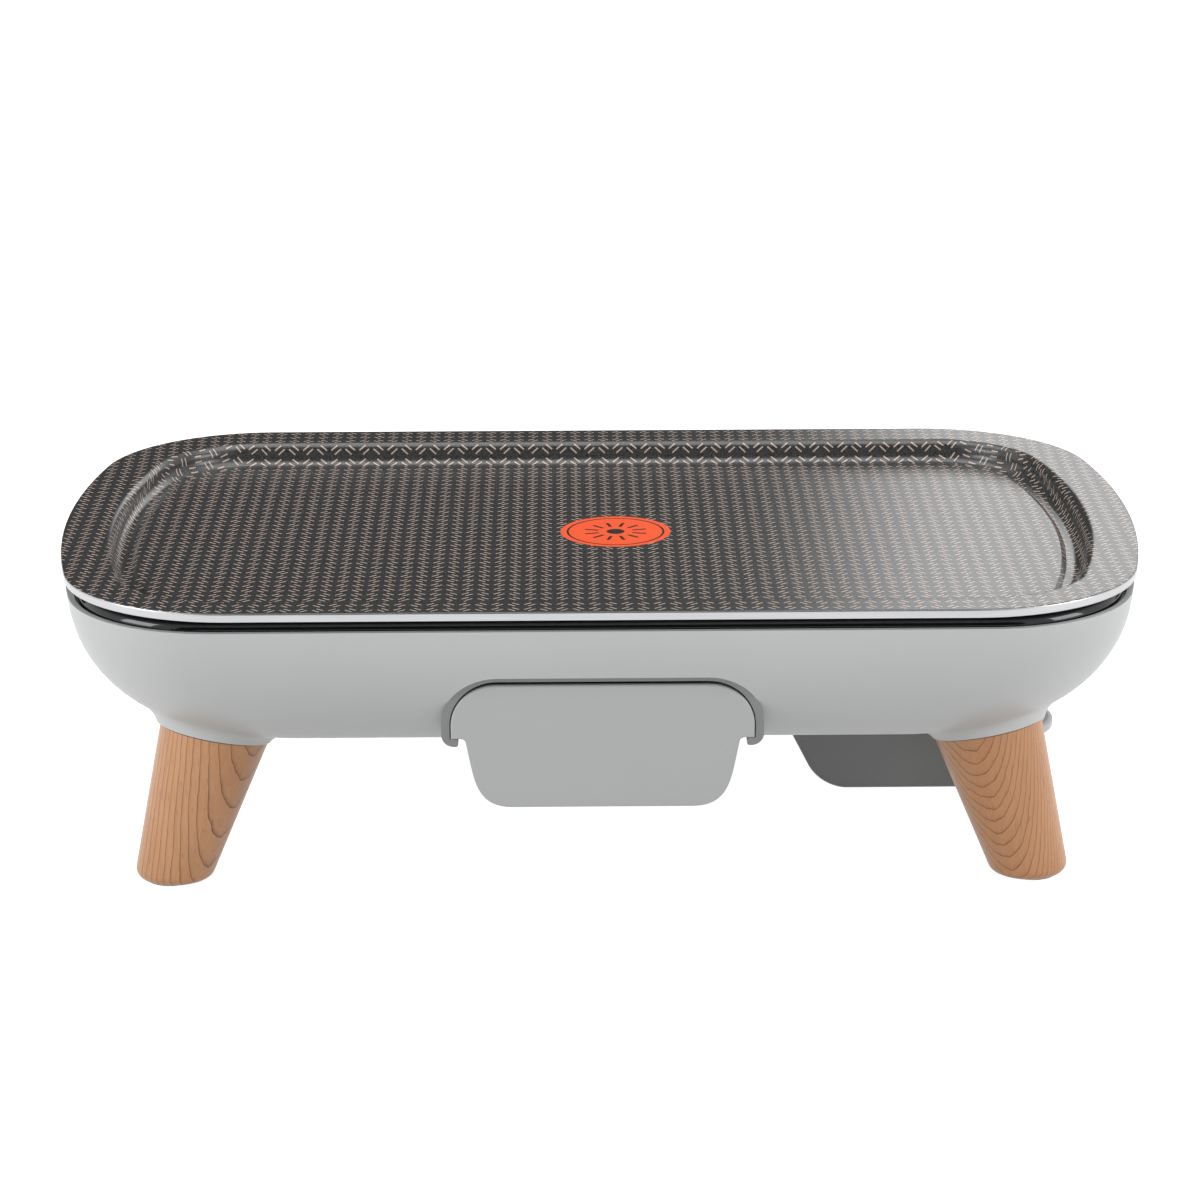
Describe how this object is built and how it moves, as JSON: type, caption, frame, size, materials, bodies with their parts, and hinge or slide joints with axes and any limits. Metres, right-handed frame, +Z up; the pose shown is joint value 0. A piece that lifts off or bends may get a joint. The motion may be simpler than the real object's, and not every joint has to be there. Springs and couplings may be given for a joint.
{
  "type": "electric plancha",
  "caption": "Table-top electric grill plate on a rounded bowl body with splayed wooden legs, a pull-out drip drawer in the front and a dial at the right end.",
  "frame": {"origin": "middle of the footprint, on the surface the feet stand on", "axes": "+X along the length towards the dial's end, -Y towards the drawer's front, +Z up"},
  "size_m": [0.5398, 0.339, 0.158],
  "materials": {
    "coated_plate": "cast, speckled non-stick coating, polished edge",
    "body_plastic": "satin moulded",
    "drawer_plastic": "satin moulded",
    "dial_plastic": "satin moulded",
    "black_plastic": "satin moulded",
    "black_enamel": "gloss enamel on steel sheet",
    "steel": "zinc plated",
    "element_steel": "heat darkened tube",
    "ceramic": "unglazed",
    "brass": "turned",
    "beech": "oiled",
    "felt": "pressed felt",
    "lamp_lens": "clear coloured lens",
    "lead_brown": "silicone sleeved",
    "lead_green": "silicone sleeved",
    "lead_blue": "silicone sleeved"
  },
  "bodies": {
    "base": {"base_shell": "body_plastic", "drip_tray": "black_enamel", "drain_funnel": "steel", "heating_element": "element_steel", "terminal_pins": "steel", "terminal_bushes": "ceramic", "element_brackets": "steel", "plate_supports": "steel", "drawer_guide": "drawer_plastic", "guide_screws": "steel", "control_housing": "body_plastic", "thermostat": "black_plastic", "thermostat_bracket": "steel", "power_inlet": "black_plastic", "inlet_pins": "brass", "indicator_lamp": "lamp_lens", "earth_stud": "brass", "leg_front_left": "beech", "leg_front_right": "beech", "leg_rear_left": "beech", "leg_rear_right": "beech", "leg_inserts": "brass", "leg_screws": "steel", "foot_pads": "felt", "tray_screws": "steel", "housing_screws": "steel", "live_lead": "lead_brown", "element_lead": "lead_brown", "earth_lead": "lead_green", "neutral_lead": "lead_blue", "thermal_fuse": "ceramic", "fuse_lead": "lead_blue"},
    "plate": {"grill_plate": "coated_plate"},
    "drawer": {"drip_drawer": "drawer_plastic"},
    "dial": {"control_dial": "dial_plastic", "dial_spindle": "steel"}
  },
  "joints": [
    {"name": "plate_lift", "type": "slide", "parent": "base", "child": "plate", "axis": [0, 0, 1], "range_m": [0, 0.12]},
    {"name": "drawer_slide", "type": "slide", "parent": "base", "child": "drawer", "axis": [0, -1, 0], "range_m": [0, 0.14]},
    {"name": "dial_turn", "type": "hinge", "parent": "base", "child": "dial", "pos_m": [0.203, 0.004, 0.0475], "axis": [0, 0, -1], "range_deg": [0, 270]}
  ]
}
